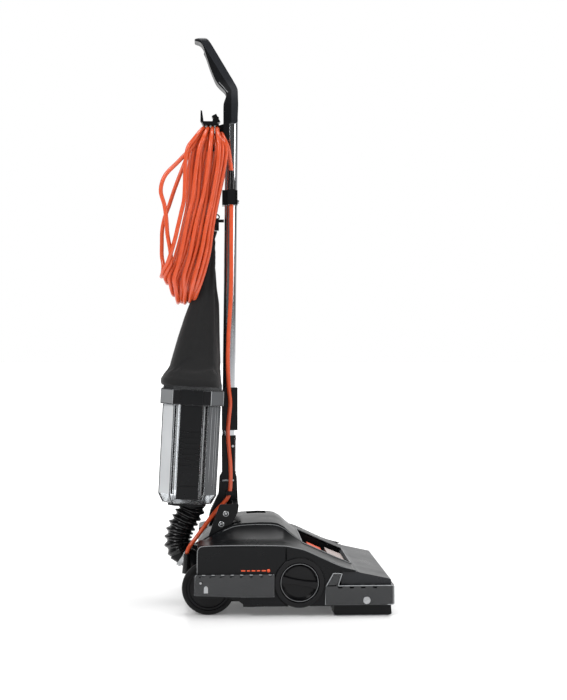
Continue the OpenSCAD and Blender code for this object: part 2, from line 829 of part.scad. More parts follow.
module cup_spine() {
    color([0.07, 0.07, 0.075]) cup_frame() {
        box([-21.7, -78, -186], [21.7, -73, -0.3]);
        for (i = [0 : 6]) box([-19, -80, -124 + 11 * i], [19, -77.9, -119 + 11 * i]);
        box([-20, -80.5, -184], [20, -77.9, -160]);
    }
}

module cup_cap() {
    color([0.07, 0.07, 0.075]) cup_frame() difference() {
        union() {
            translate([0, 0, -203]) linear_extrude(height = 6.7) cup_plan(38, 46, 12);
            translate([outlet_x, 0, -210]) cylinder(r = 24, h = 12);
            translate([outlet_x, 0, -199]) cylinder(r = 23.5, h = 12);
        }
        translate([outlet_x, 0, -212]) cylinder(r = 20, h = 40);
    }
}

module dust_filter() {
    color([0.82, 0.8, 0.74]) cup_frame() difference() {
        translate([0, 0, 3]) cylinder(r = 46, h = 35);
        translate([0, 0, 2]) cylinder(r = 30, h = 29);
    }
}

module bag_slice(x0, x1, half, z, corner) {
    translate([(x0 + x1) / 2, 0, z]) linear_extrude(height = 0.5) intersection() {
        square([x1 - x0, 2 * half], center = true);
        circle(r = max(half, (x1 - x0) / 2) * corner);
    }
}

module bag() {
    color([0.06, 0.06, 0.065]) {
        hull() {
            bag_slice(-217, -100, 66, 444.6, 1.12);
            bag_slice(-205, -102.5, 60, 490, 1.12);
        }
        hull() {
            bag_slice(-205, -102.5, 60, 490.4, 1.12);
            bag_slice(-178, -104.5, 34, 575, 1.1);
        }
        hull() {
            bag_slice(-176, -104.5, 33, 575.4, 1.1);
            bag_slice(-149, -106.5, 19, 604, 1.1);
        }
        hull() {
            bag_slice(-149, -106.5, 19, 604.4, 1.1);
            bag_slice(-129, -119, 7, 716, 1.2);
        }
        hull() {
            bag_slice(-129, -119, 7, 716.4, 1.2);
            bag_slice(-119, -111, 9, 746, 1.2);
        }
    }
}

module bag_clip() {
    color([0.1, 0.1, 0.105]) {
        box([-116, -9, 746.8], [-107, 9, 772]);
        difference() {
            rod_y(6, -1.5, 1.5, -111, 775);
            rod_y(3.5, -3, 3, -111, 775);
        }
        box([-107.5, -3, 764], [-96.8, 3, 770]);
    }
}

// ---- Power cord ---------------------------------------------------------------

lead_route = [[-171, -60, 102.2], [-167, -60, 114], [-155, -57, 130], [-139, -49, 151],
              [-123, -40, 172], [-107, -31, 190], [-93, -24, 201],
              [-85.5, -20.8, 208.5], [-84.7, -20.5, 213.8]];

riser_route = [[-84.7, -20.5, 214], [-83.5, -20.5, 234], [-84, -20.5, 272], [-88, -20.5, 319],
               [-89, -20.5, 343], [-87, -20.5, 369], [-84.5, -20.5, 401], [-87, -20.5, 427],
               [-89, -20.5, 482], [-87.5, -20.5, 538], [-83.5, -20.5, 607], [-82, -20.5, 667],
               [-82, -20.5, 736], [-82, -21.5, 788], [-82, -21.5, 812], [-82, -21.5, 866],
               [-86, -22, 889], [-88, -22, 915], [-94, -22, 931], [-104, -22, 941]];

module cord_gland() {
    color([0.05, 0.05, 0.055])
    difference() {
        union() {
            translate([-171, -60, 64]) cylinder(r1 = 9.5, r2 = 6, h = 38);
            box([-176, -68, 64], [-149.2, -52, 74]);
        }
        translate([-171, -60, 68]) cylinder(r = cord_d / 2 + 0.02, h = 50);
    }
}

module cord_lead() {
    color([0.93, 0.29, 0.12]) swept_tube(lead_route, cord_d / 2, 8, 12);
}

module cord_riser() {
    color([0.93, 0.29, 0.12]) swept_tube(riser_route, cord_d / 2, 8, 56);
}

hank_side = [[-138, 957], [-146, 940], [-160, 925], [-181, 880], [-186, 830], [-200, 740],
             [-216, 690], [-231, 660], [-231, 645], [-220, 615], [-203, 592], [-166, 596],
             [-136, 660], [-122, 720], [-112, 790], [-104, 850], [-104, 900], [-109, 930], [-111, 956]];

hank_fold = [[-231, 660], [-231, 645], [-220, 615], [-203, 592], [-170, 596], [-165, 606],
             [-198, 604], [-213, 626], [-222, 655]];

module cord_hank() {
    color([0.93, 0.29, 0.12]) {
        both_sides() between_y(23, 46) polygon(hank_side);
        between_y(-24, 24) polygon([[-138, 932.4], [-138, 957], [-111, 955.5], [-109, 932.4]]);
        between_y(-24, 24) polygon(hank_fold);
    }
}

plug_spot = [-150, 59.4, 690];

module cord_plug() {
    color([0.85, 0.25, 0.1]) translate(plug_spot) {
        cylinder(r = 13, h = 34);
        translate([0, 0, 34 - eps]) cylinder(r1 = 9, r2 = 5.6, h = 26);
        translate([0, -7, -18]) cylinder(r = 2.4, h = 18 + eps);
        for (x = [-6.4, 6.4]) box([x - 0.8, 0, -17], [x + 0.8, 6.4, eps]);
    }
}

chassis();
bottom_plate();
nozzle_housing();
nose_cover();
motor_hood();
side_panel_near();
side_panel_far();
recess_tray();
window_lens();
rear_bumper_near();
rear_bumper_far();
front_bumper();
base_screws();
selector_port();
motor_case();
fan_housing();
intake_duct();
exhaust_duct();
hose();
hose_clamp();
wheel_axle();
brush_end_caps();
drive_belt();
pivot_brackets();
cord_gland();
motor_rotor();
suction_fan();
drive_pulley();
brush_roll();
brush_bristles();
wheel_near_hub();
wheel_near_tyre();
wheel_far_hub();
wheel_far_tyre();
front_rollers();
selector_knob();
foot_pedal();
release_pedal();
handle_bail();
handle_bolts();
lower_sleeve();
handle_tube();
cup_bracket();
cord_clamps();
cord_boot();
grip_front();
grip_rear();
cord_hook();
cup_ring();
cup_shell();
cup_spine();
cup_cap();
dust_filter();
bag();
bag_clip();
cord_lead();
cord_riser();
cord_hank();
cord_plug();
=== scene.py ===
"""Upright vacuum cleaner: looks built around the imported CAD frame. Metres, +X nose, +Z up."""

import json
import math
import random

import bmesh
import bpy
from mathutils import Matrix, Vector


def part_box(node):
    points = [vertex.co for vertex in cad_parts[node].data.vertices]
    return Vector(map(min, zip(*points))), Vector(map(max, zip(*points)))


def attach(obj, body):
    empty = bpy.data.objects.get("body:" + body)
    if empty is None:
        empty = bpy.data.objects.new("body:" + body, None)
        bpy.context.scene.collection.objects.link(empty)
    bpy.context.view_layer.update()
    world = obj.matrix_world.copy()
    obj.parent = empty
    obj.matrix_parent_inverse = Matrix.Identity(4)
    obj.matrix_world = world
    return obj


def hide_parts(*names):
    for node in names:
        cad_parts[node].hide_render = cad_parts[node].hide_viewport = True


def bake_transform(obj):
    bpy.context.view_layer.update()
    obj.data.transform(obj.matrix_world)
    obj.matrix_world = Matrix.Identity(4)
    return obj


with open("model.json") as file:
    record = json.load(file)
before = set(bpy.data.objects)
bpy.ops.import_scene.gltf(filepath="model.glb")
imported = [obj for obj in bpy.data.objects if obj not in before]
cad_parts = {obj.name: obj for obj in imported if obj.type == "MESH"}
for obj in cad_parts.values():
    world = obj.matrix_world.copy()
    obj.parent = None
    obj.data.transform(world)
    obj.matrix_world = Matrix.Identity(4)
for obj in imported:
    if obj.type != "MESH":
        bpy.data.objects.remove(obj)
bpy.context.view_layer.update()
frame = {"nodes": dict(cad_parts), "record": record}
NODES = frame["nodes"]
MM = 0.001
EDGE_ANGLE = 32
AMBIENT = 0.46
AMBIENT_GLOSS = 0.1
BACKDROP_GLOSS = 0.85


def metres(point):
    return Vector(point) * MM


# ---------------------------------------------------------------- camera, light and floor


def add_camera():
    data = bpy.data.cameras.new("camera")
    data.lens = 69.7
    data.sensor_width = 36
    data.clip_start = 0.05
    camera = bpy.data.objects.new("camera", data)
    camera.location = (-0.121, -2.75, 0.512)
    camera.rotation_euler = (math.radians(89.87), 0, math.radians(-3.02))
    bpy.context.scene.collection.objects.link(camera)
    bpy.context.scene.camera = camera


def add_light(name, place, aim, size, power):
    data = bpy.data.lights.new(name, "AREA")
    data.shape = "RECTANGLE"
    data.size, data.size_y = size
    data.energy = power
    light = bpy.data.objects.new(name, data)
    light.location = place
    light.rotation_euler = (Vector(aim) - Vector(place)).to_track_quat("-Z", "Y").to_euler()
    bpy.context.scene.collection.objects.link(light)


def add_studio():
    """White surroundings that light evenly; in gloss only the backdrop side is bright."""
    world = bpy.data.worlds.new("studio")
    world.use_nodes = True
    tree = world.node_tree
    background = tree.nodes["Background"]
    background.inputs["Color"].default_value = (1, 1, 1, 1)
    rays = tree.nodes.new("ShaderNodeLightPath")
    glossy = tree.nodes.new("ShaderNodeMapRange")
    glossy.inputs["To Min"].default_value = AMBIENT
    aim = tree.nodes.new("ShaderNodeTexCoord")
    split = tree.nodes.new("ShaderNodeSeparateXYZ")
    tree.links.new(aim.outputs["Generated"], split.inputs["Vector"])
    behind = tree.nodes.new("ShaderNodeMapRange")
    behind.interpolation_type = "SMOOTHSTEP"
    behind.inputs["From Min"].default_value = 0.1
    behind.inputs["From Max"].default_value = 0.8
    behind.inputs["To Min"].default_value = AMBIENT_GLOSS
    behind.inputs["To Max"].default_value = BACKDROP_GLOSS
    tree.links.new(split.outputs["Y"], behind.inputs["Value"])
    tree.links.new(behind.outputs["Result"], glossy.inputs["To Max"])
    tree.links.new(rays.outputs["Is Glossy Ray"], glossy.inputs["Value"])
    seen = tree.nodes.new("ShaderNodeMath")
    seen.operation = "MAXIMUM"
    tree.links.new(rays.outputs["Is Camera Ray"], seen.inputs[0])
    tree.links.new(glossy.outputs["Result"], seen.inputs[1])
    tree.links.new(seen.outputs["Value"], background.inputs["Strength"])
    bpy.context.scene.world = world
    bpy.context.scene.view_settings.view_transform = "Standard"
    add_light("key", (-1.7, -2.0, 2.3), (0, 0, 0.4), (1.0, 1.4), 52)
    add_light("top", (0.3, 0.3, 2.9), (0, 0, 0.3), (1.8, 1.8), 55)
    add_light("front", (2.4, -1.2, 1.5), (0, 0, 0.2), (0.9, 1.6), 24)


def add_stage():
    """A pale floor that glows to white away from the object, so no horizon shows."""
    ring = [(0, 0, 0)] + [(40 * math.cos(a), 40 * math.sin(a), 0)
                          for a in (math.pi * k / 24 for k in range(48))]
    faces = [(0, k, k % 48 + 1) for k in range(1, 49)]
    mesh = bpy.data.meshes.new("floor")
    mesh.from_pydata(ring, [], faces)
    white = bpy.data.materials.new("studio_floor")
    white.use_nodes = True
    tree = white.node_tree
    shader = tree.nodes["Principled BSDF"]
    shader.inputs["Base Color"].default_value = (0.93, 0.93, 0.93, 1)
    shader.inputs["Roughness"].default_value = 0.22
    shader.inputs["Specular IOR Level"].default_value = 0.35
    shader.inputs["Emission Color"].default_value = (1, 1, 1, 1)
    place = tree.nodes.new("ShaderNodeTexCoord")
    far = tree.nodes.new("ShaderNodeVectorMath")
    far.operation = "LENGTH"
    tree.links.new(place.outputs["Object"], far.inputs[0])
    glow = tree.nodes.new("ShaderNodeMapRange")
    glow.inputs["From Min"].default_value = 0.4
    glow.inputs["From Max"].default_value = 1.8
    glow.inputs["To Min"].default_value = 0.1
    glow.inputs["To Max"].default_value = 0.85
    tree.links.new(far.outputs["Value"], glow.inputs["Value"])
    tree.links.new(glow.outputs["Result"], shader.inputs["Emission Strength"])
    mesh.materials.append(white)
    floor = bpy.data.objects.new("floor", mesh)
    bpy.context.scene.collection.objects.link(floor)


# ---------------------------------------------------------------- materials


def node_material(name, colour, rough, *, metallic=0.0, spread=0.12, patch=14, grain=900,
                  bump=0.12, depth=0.0002, scuff=0.06, **sockets):
    """A Principled surface whose colour, roughness and fine relief vary over the object."""
    made = bpy.data.materials.new(name)
    made.use_nodes = True
    tree = made.node_tree
    shader = tree.nodes["Principled BSDF"]
    shader.inputs["Metallic"].default_value = metallic
    for socket, value in sockets.items():
        shader.inputs[socket.replace("_", " ")].default_value = value
    place = tree.nodes.new("ShaderNodeTexCoord")
    clouds = tree.nodes.new("ShaderNodeTexNoise")
    clouds.inputs["Scale"].default_value = patch
    clouds.inputs["Detail"].default_value = 5
    tree.links.new(place.outputs["Object"], clouds.inputs["Vector"])
    tint = tree.nodes.new("ShaderNodeMix")
    tint.data_type = "RGBA"
    tint.inputs["A"].default_value = (*[c * (1 - spread) for c in colour], 1)
    tint.inputs["B"].default_value = (*[min(1, c * (1 + spread)) for c in colour], 1)
    tree.links.new(clouds.outputs["Fac"], tint.inputs["Factor"])
    tree.links.new(tint.outputs["Result"], shader.inputs["Base Color"])
    polish = tree.nodes.new("ShaderNodeMapRange")
    polish.inputs["From Min"].default_value = 0.3
    polish.inputs["From Max"].default_value = 0.7
    polish.inputs["To Min"].default_value = max(0.02, rough - scuff)
    polish.inputs["To Max"].default_value = min(1, rough + scuff)
    tree.links.new(clouds.outputs["Fac"], polish.inputs["Value"])
    tree.links.new(polish.outputs["Result"], shader.inputs["Roughness"])
    relief = tree.nodes.new("ShaderNodeTexNoise")
    relief.inputs["Scale"].default_value = grain
    relief.inputs["Detail"].default_value = 3
    tree.links.new(place.outputs["Object"], relief.inputs["Vector"])
    raised = tree.nodes.new("ShaderNodeBump")
    raised.inputs["Strength"].default_value = bump
    raised.inputs["Distance"].default_value = depth
    tree.links.new(relief.outputs["Fac"], raised.inputs["Height"])
    tree.links.new(raised.outputs["Normal"], shader.inputs["Normal"])
    return made


def woven_material(name, colour, pitch):
    """Plain-weave cloth: two crossed wave patterns give threads and their relief."""
    made = node_material(name, colour, 0.85, spread=0.35, patch=25, Sheen_Weight=0.12,
                         Specular_IOR_Level=0.2)
    tree = made.node_tree
    shader = tree.nodes["Principled BSDF"]
    place = next(n for n in tree.nodes if n.type == "TEX_COORD")
    threads = []
    for direction in ("Z", "X"):
        wave = tree.nodes.new("ShaderNodeTexWave")
        wave.bands_direction = direction
        wave.inputs["Scale"].default_value = 0.314 / pitch
        wave.inputs["Distortion"].default_value = 0.8
        wave.inputs["Detail Scale"].default_value = 40
        tree.links.new(place.outputs["Object"], wave.inputs["Vector"])
        threads.append(wave)
    weave = tree.nodes.new("ShaderNodeMath")
    weave.operation = "MULTIPLY"
    tree.links.new(threads[0].outputs["Fac"], weave.inputs[0])
    tree.links.new(threads[1].outputs["Fac"], weave.inputs[1])
    raised = next(n for n in tree.nodes if n.type == "BUMP")
    raised.inputs["Strength"].default_value = 0.5
    raised.inputs["Distance"].default_value = 0.0004
    tree.links.new(weave.outputs["Value"], raised.inputs["Height"])
    return made


MATERIALS = {
    "black_shell": node_material("black_shell", (0.0042, 0.0045, 0.0052), 0.3, bump=0.1,
                                 Specular_IOR_Level=0.17),
    "gloss_black": node_material("gloss_black", (0.004, 0.004, 0.0047), 0.18, bump=0.05,
                                 Specular_IOR_Level=0.2),
    "grey_satin": node_material("grey_satin", (0.013, 0.0142, 0.017), 0.3, bump=0.1,
                                Specular_IOR_Level=0.3),
    "clear_plastic": node_material("clear_plastic", (0.90, 0.92, 0.94), 0.07, bump=0.008,
                                   spread=0.02, scuff=0.03, Transmission_Weight=0.96, IOR=1.38),
    "smoke_plastic": node_material("smoke_plastic", (0.055, 0.057, 0.060), 0.2, bump=0.08,
                                   spread=0.15, patch=30, Transmission_Weight=0.45, IOR=1.4),
    "steel": node_material("steel", (0.50, 0.51, 0.53), 0.28, metallic=1.0, grain=1400),
    "zinc": node_material("zinc", (0.45, 0.46, 0.47), 0.3, metallic=1.0, patch=90),
    "chrome_tube": node_material("chrome_tube", (0.50, 0.51, 0.53), 0.14, metallic=1.0,
                                 spread=0.04, scuff=0.03, bump=0.02),
    "aluminium": node_material("aluminium", (0.60, 0.61, 0.62), 0.35, metallic=1.0),
    "copper_winding": node_material("copper_winding", (0.60, 0.27, 0.12), 0.35, metallic=1.0),
    "rubber_black": node_material("rubber_black", (0.0045, 0.0045, 0.005), 0.2, bump=0.1,
                                  Specular_IOR_Level=0.45),
    "tyre": node_material("tyre", (0.0055, 0.0055, 0.006), 0.6, bump=0.35, depth=0.0004,
                          Specular_IOR_Level=0.2),
    "hub_plastic": node_material("hub_plastic", (0.006, 0.006, 0.0068), 0.4,
                                 Specular_IOR_Level=0.2),
    "orange_pedal": node_material("orange_pedal", (0.80, 0.09, 0.02), 0.35),
    "cord_orange": node_material("cord_orange", (0.54, 0.072, 0.022), 0.22, spread=0.14,
                                 patch=60, grain=500, Subsurface_Weight=0.03),
    "bag_fabric": woven_material("bag_fabric", (0.0085, 0.0085, 0.0088), 0.0011),
    # Painted highlight: pale grey for thin lines on lit edges and the ring's lit facet.
    "painted_highlight_grey": node_material("painted_highlight_grey", (0.16, 0.165, 0.17), 0.35, bump=0.05),
    # Painted highlight: a pale, partly clear copy of the cup's plastic for its lit rear facets.
    "painted_light_facet": node_material("painted_light_facet", (0.62, 0.635, 0.65), 0.22, bump=0.03,
                               Transmission_Weight=0.3, IOR=1.4),
    # Painted shade: a dark, partly clear copy of the plastic for the shaded front facets and
    # corner lines.
    "painted_shade_grey": node_material("painted_shade_grey", (0.085, 0.09, 0.096), 0.16, bump=0.03,
                               Transmission_Weight=0.2, IOR=1.4),
    "lens_pale": node_material("lens_pale", (0.42, 0.31, 0.28), 0.25, bump=0.04,
                               Transmission_Weight=0.25, IOR=1.4),
    # Painted highlight: pale grey for light lines along rims and clear edges.
    "painted_highlight_pale": node_material("painted_highlight_pale", (0.30, 0.31, 0.32), 0.3, bump=0.05),
    "filter_felt": node_material("filter_felt", (0.55, 0.54, 0.50), 0.9, patch=60, grain=500,
                                 bump=0.6, depth=0.001, Sheen_Weight=0.3),
    "brush_wood": node_material("brush_wood", (0.42, 0.25, 0.12), 0.5, patch=40),
    "bristle": node_material("bristle", (0.03, 0.03, 0.032), 0.6, grain=1200, bump=0.8,
                             depth=0.001),
}
SLOT_OF = {part["node"]: part["material_slot"] for part in frame["record"]["subparts"]}


def dress_node(name, bevel=0.0008):
    """Gives a CAD node its slot's material, with rounded edges."""
    node = NODES[name]
    mesh = node.data
    mesh.materials.clear()
    mesh.materials.append(MATERIALS[SLOT_OF[name]])
    if "custom_normal" in mesh.attributes:
        mesh.attributes.remove(mesh.attributes["custom_normal"])
    mesh.shade_smooth()
    weld = node.modifiers.new("weld", "WELD")
    weld.merge_threshold = 0.00002
    flat = node.modifiers.new("flat", "DECIMATE")
    flat.decimate_type = "DISSOLVE"
    flat.angle_limit = math.radians(0.6)
    edge = node.modifiers.new("edge", "BEVEL")
    edge.width = bevel
    edge.segments = 3
    edge.limit_method = "ANGLE"
    edge.angle_limit = math.radians(EDGE_ANGLE)
    shade = node.modifiers.new("shade", "WEIGHTED_NORMAL")
    shade.keep_sharp = False


# ---------------------------------------------------------------- mesh helpers


def mesh_piece(name, verts, faces, slot_name):
    """A piece made of points in metres, with the material named by slot_name."""
    mesh = bpy.data.meshes.new(name)
    mesh.from_pydata([tuple(v) for v in verts], [], faces)
    mesh.materials.append(MATERIALS[slot_name])
    mesh.shade_smooth()
    piece = bpy.data.objects.new(name, mesh)
    bpy.context.scene.collection.objects.link(piece)
    return piece


def outward(piece):
    work = bmesh.new()
    work.from_mesh(piece.data)
    bmesh.ops.recalc_face_normals(work, faces=work.faces)
    work.to_mesh(piece.data)
    work.free()
    return piece


def loft(name, rings, slot_name, ends=(True, True)):
    """Joins equal rings of Vectors into one skin; ends tells whether first and last are closed."""
    count = len(rings[0])
    verts = [p for ring in rings for p in ring]
    faces = []
    for r in range(len(rings) - 1):
        for k in range(count):
            a, b = r * count + k, r * count + (k + 1) % count
            faces.append((a, b, b + count, a + count))
    if ends[0]:
        faces.append(tuple(range(count))[::-1])
    if ends[1]:
        faces.append(tuple((len(rings) - 1) * count + k for k in range(count)))
    return outward(mesh_piece(name, verts, faces, slot_name))


def smooth_line(points, step):
    """A Catmull-Rom curve through the points, as points about one step apart."""
    pts = [Vector(p) for p in points]
    pts = [pts[0] * 2 - pts[1]] + pts + [pts[-1] * 2 - pts[-2]]
    dense = []
    for i in range(1, len(pts) - 2):
        p0, p1, p2, p3 = pts[i - 1 : i + 3]
        k01, k12, k23 = (max(1e-6, (b - a).length ** 0.5)
                         for a, b in ((p0, p1), (p1, p2), (p2, p3)))
        m1 = (p1 - p0) / k01 - (p2 - p0) / (k01 + k12) + (p2 - p1) / k12
        m2 = (p2 - p1) / k12 - (p3 - p1) / (k12 + k23) + (p3 - p2) / k23
        m1, m2 = m1 * k12, m2 * k12
        for j in range(24):
            t = j / 24
            dense.append((2 * t**3 - 3 * t**2 + 1) * p1 + (t**3 - 2 * t**2 + t) * m1
                         + (3 * t**2 - 2 * t**3) * p2 + (t**3 - t**2) * m2)
    dense.append(pts[-2])
    total = sum((b - a).length for a, b in zip(dense, dense[1:]))
    count = max(2, round(total / step))
    even, walked, want = [dense[0]], 0.0, total / count
    for a, b in zip(dense, dense[1:]):
        length = (b - a).length
        while walked + length >= want - 1e-9 and len(even) < count:
            even.append(a.lerp(b, (want - walked) / length))
            want += total / count
        walked += length
    even.append(dense[-1])
    return even


def line_frames(line):
    """A tangent and two cross directions at each point, carried along without twist."""
    tangents = [(line[min(i + 1, len(line) - 1)] - line[max(i - 1, 0)]).normalized()
                for i in range(len(line))]
    side = tangents[0].orthogonal().normalized()
    frames = []
    for tangent in tangents:
        side = (side - tangent * side.dot(tangent)).normalized()
        frames.append((tangent, side, tangent.cross(side)))
    return frames


def tube(name, line, radius, slot_name, sides):
    """A round skin about a line, all of one radius."""
    rings = []
    for centre, (_, side, up) in zip(line, line_frames(line)):
        rings.append([centre + (side * math.cos(a) + up * math.sin(a)) * radius
                      for a in (2 * math.pi * k / sides for k in range(sides))])
    return loft(name, rings, slot_name)


def between(table, at):
    """Straight-line reading of a table of (place, value) pairs, highest place first."""
    if at >= table[0][0]:
        return table[0][1]
    for (z0, v0), (z1, v1) in zip(table, table[1:]):
        if at >= z1:
            return v1 + (v0 - v1) * (at - z1) / (z0 - z1)
    return table[-1][1]


def ease(t):
    t = min(1.0, max(0.0, t))
    return t * t * (3 - 2 * t)


def add_bevel(piece, width):
    edge = piece.modifiers.new("edge", "BEVEL")
    edge.width = width * MM
    edge.segments = 3
    edge.limit_method = "ANGLE"
    edge.angle_limit = math.radians(EDGE_ANGLE)
    shade = piece.modifiers.new("shade", "WEIGHTED_NORMAL")
    shade.keep_sharp = False


def plate(name, outline, y0, y1, slot_name, bevel=1.2):
    """A flat piece: an XZ outline made solid from y0 to y1, with rounded edges. Millimetres."""
    count = len(outline)
    verts = [metres((x, y, z)) for y in (y0, y1) for x, z in outline]
    faces = [tuple(range(count)), tuple(range(2 * count - 1, count - 1, -1))]
    faces += [(k, (k + 1) % count, (k + 1) % count + count, k + count) for k in range(count)]
    piece = outward(mesh_piece(name, verts, faces, slot_name))
    add_bevel(piece, bevel)
    return piece


def turned(name, profile, centre, axis, slot_name, sides):
    """A turned piece: (radius, height) points spun about an axis through centre. Millimetres."""
    axis = Vector(axis).normalized()
    side = axis.orthogonal().normalized()
    up = axis.cross(side)
    rings = []
    for radius, height in profile:
        rings.append([metres(Vector(centre) + axis * height
                             + (side * math.cos(a) + up * math.sin(a)) * radius)
                      for a in (2 * math.pi * k / sides for k in range(sides))])
    return loft(name, rings, slot_name)


def rounded_box(name, low, high, slot_name, bevel):
    """A box with rounded edges between two corners. Millimetres."""
    verts = [metres([(high[i] if k >> i & 1 else low[i]) for i in range(3)]) for k in range(8)]
    faces = [(0, 2, 3, 1), (4, 5, 7, 6), (0, 1, 5, 4), (2, 6, 7, 3), (0, 4, 6, 2), (1, 3, 7, 5)]
    piece = outward(mesh_piece(name, verts, faces, slot_name))
    add_bevel(piece, bevel)
    return piece


def rising(table, at):
    """Straight-line reading of (place, value) pairs, lowest place first."""
    return between(table[::-1], at)


# ---------------------------------------------------------------- the mains cord

CORD_D = 8.4
LEAD = [(-171, -60, 102.2), (-167, -60, 114), (-155, -57, 130), (-139, -49, 151),
        (-123, -40, 172), (-109, -32, 188), (-98, -26.5, 198.5), (-90.2, -22.6, 207.5),
        (-86, -20.8, 217)]
RISER = [(-84, -20.5, 234), (-84, -20.5, 272), (-88, -20.5, 319), (-89, -20.5, 343),
         (-87, -20.5, 369), (-84.5, -20.5, 401), (-87, -20.5, 427), (-89, -20.5, 482),
         (-87.5, -20.5, 538), (-83.5, -20.5, 607), (-82, -20.5, 667), (-82, -20.5, 736),
         (-82, -21.5, 788), (-82, -21.5, 812), (-82, -21.5, 866), (-85, -22.5, 889)]
ONTO_PEG = [(-87, -26, 903), (-91, -28.5, 917), (-97, -25, 931), (-101, -14, 941),
            (-102, 0, 944.5), (-101.4, 14, 941), (-99.4, 24.3, 932.3)]
PLUG_TAIL = [(-146, 45, 886), (-149, 50, 850), (-150, 55, 810), (-150, 58.6, 776),
             (-150, 59.4, 752), (-150, 59.4, 742)]
TURNS = 12
PEG_X = -137
PEG_STEP = 8.7
PEG_Z = 910.5
PEG_ENTRY_R = 30
LAYER_R = (44, 38.5, 33)
EDGE_GAP = 4.5
BOTTOM_Z = (654, 600)
BOTTOM_LIFT = (0, 4, -2, 0, 12, 3, 10, 1, 9, 4, 8, 5)
# Rear and front outline of the hank, then how far two loose runs stand out from it: each entry
# is a height and a place or a shift along X.
LEFT_EDGE = [(940, -150), (905, -177), (860, -179), (810, -180), (770, -189), (723, -200),
             (678, -213.5), (653, -226.5), (621, -215), (591, -203)]
RIGHT_EDGE = [(940, -92), (900, -87), (868, -92.6), (792, -109), (751, -116), (709, -121),
              (656, -133), (595, -156.5)]
STRAY_NEAR = [(905, 0), (895, -9), (862, -42), (840, -56), (813, -54), (786, -38), (743, -26),
              (714, -13), (680, 0)]
STRAY_FAR = [(900, 0), (866, -12), (826, -26), (793, -34), (763, -36), (737, -32), (703, -23),
             (680, -13), (658, -4), (640, 0)]


def hank_x(turn, z, far):
    """Where a run of a turn hangs, across the bundle between its two edges."""
    share = turn / (TURNS - 1)
    left, right = between(LEFT_EDGE, z) + EDGE_GAP, between(RIGHT_EDGE, z) - EDGE_GAP
    x = left + (right - left) * share
    x += 3.0 * math.sin(z / 47 + turn * 2.4 + (1.9 if far else 0)) * math.sin(math.pi * share)
    if turn == 1 and not far:
        x += between(STRAY_NEAR, z)
    if turn == 0 and far:
        x += between(STRAY_FAR, z)
    return x


def peg_x(fold):
    return PEG_X + PEG_STEP * (fold // len(LAYER_R))


def fold_radius(fold):
    return LAYER_R[fold % len(LAYER_R)]


def bottom_z(turn):
    """Lowest point of a turn: the rearmost hang higher, and each differs a little."""
    share = turn / (TURNS - 1)
    high, low = BOTTOM_Z
    return high + (low - high) * min(1, share / 0.28) + BOTTOM_LIFT[turn]


def top_fold(fold, near_turn, far_turn):
    """The half circle over the peg, from the near run of one turn to the far run of the next."""
    r = fold_radius(fold)
    points = []
    for k in range(1, 10):
        angle = math.pi * k / 10
        far = angle > math.pi / 2
        z = PEG_Z + r * math.sin(angle)
        turn = far_turn if far else near_turn
        rest = hank_x(turn, PEG_Z, far)
        pull = 1 - math.cos(abs(angle - math.pi / 2))
        x = peg_x(fold) + (rest - peg_x(fold)) * pull
        points.append((x, -r * math.cos(angle), z))
    return points


def run(turn, far, start_r, end_r, start_z, end_z):
    """A hanging run between two heights, its distance from the middle easing between two radii."""
    points = []
    for k in range(9):
        share = k / 8
        z = start_z + (end_z - start_z) * share
        y = start_r + (end_r - start_r) * ease(share)
        points.append((hank_x(turn, z, far), y if far else -y, z))
    return points


def bottom_fold(turn, r):
    """The half circle at the bottom of a turn, from its far run to its near run."""
    low = bottom_z(turn)
    points = []
    for k in range(1, 8):
        angle = math.pi * k / 8
        z = low + r - r * math.sin(angle)
        y = r * math.cos(angle)
        near = hank_x(turn, z, False)
        far = hank_x(turn, z, True)
        points.append((far + (near - far) * ease(k / 8), y, z))
    return points


def cord_route():
    points = LEAD + RISER + ONTO_PEG
    last_r = PEG_ENTRY_R
    for turn in range(TURNS - 1, -1, -1):
        r = fold_radius(turn)
        low = bottom_z(turn) + r
        points += run(turn, True, last_r, r, PEG_Z, low)
        points += bottom_fold(turn, r)
        points += run(turn, False, r, r, low, PEG_Z)
        if turn:
            points += top_fold(turn, turn, turn - 1)
        last_r = r
    return points + top_fold(0, 0, 3) + PLUG_TAIL


def add_cord():
    line = smooth_line([metres(p) for p in cord_route()], 0.006)
    piece = tube("mains_cord", line, CORD_D / 2 * MM, "cord_orange", 14)
    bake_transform(piece)
    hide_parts("cord_lead", "cord_riser", "cord_hank")


# ---------------------------------------------------------------- dust cup and tube trim

CUP_TILT = math.radians(3)
CUP_PLACE = (-161, 0, 397)
CUP_CORNERS = ((-56.5, 53), (-34.5, 75), (34.5, 75), (56.5, 53))
CUP_HEIGHTS = (-177, -1)
RING_CORNERS = ((-62, 56), (-38, 80), (38, 80), (62, 56))
RING_HEIGHTS = (2, 28.5)


def in_cup(x, y, z):
    """A point of the tilted cup's own frame, in millimetres, as a place in metres."""
    spin = Matrix.Rotation(CUP_TILT, 3, "Y")
    return metres(Vector(CUP_PLACE) + spin @ Vector((x, y, z)))


def add_cup_inside():
    """The air duct inside the cup, and the latch plate over the ring on the near side."""
    line = smooth_line([in_cup(*p) for p in ((11, 0, -191), (15, 0, -184), (26, 0, -166),
                                             (30.5, 0, -140), (31, 0, -60), (31, 0, -4))], 0.006)
    duct = tube("cup_duct", line, 20.5 * MM, "gloss_black", 32)
    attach(duct, "handle")
    corners = [(-22, 0.8), (-22, 30), (22, 30), (22, 0.8)]
    verts = [in_cup(x, y, z) for y in (-82.4, -80.2) for x, z in corners]
    faces = [(0, 1, 2, 3), (7, 6, 5, 4)] + [(k, k + 4, (k + 1) % 4 + 4, (k + 1) % 4)
                                            for k in range(4)]
    latch = outward(mesh_piece("cup_latch", verts, faces, "black_shell"))
    add_bevel(latch, 1.0)
    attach(latch, "handle")


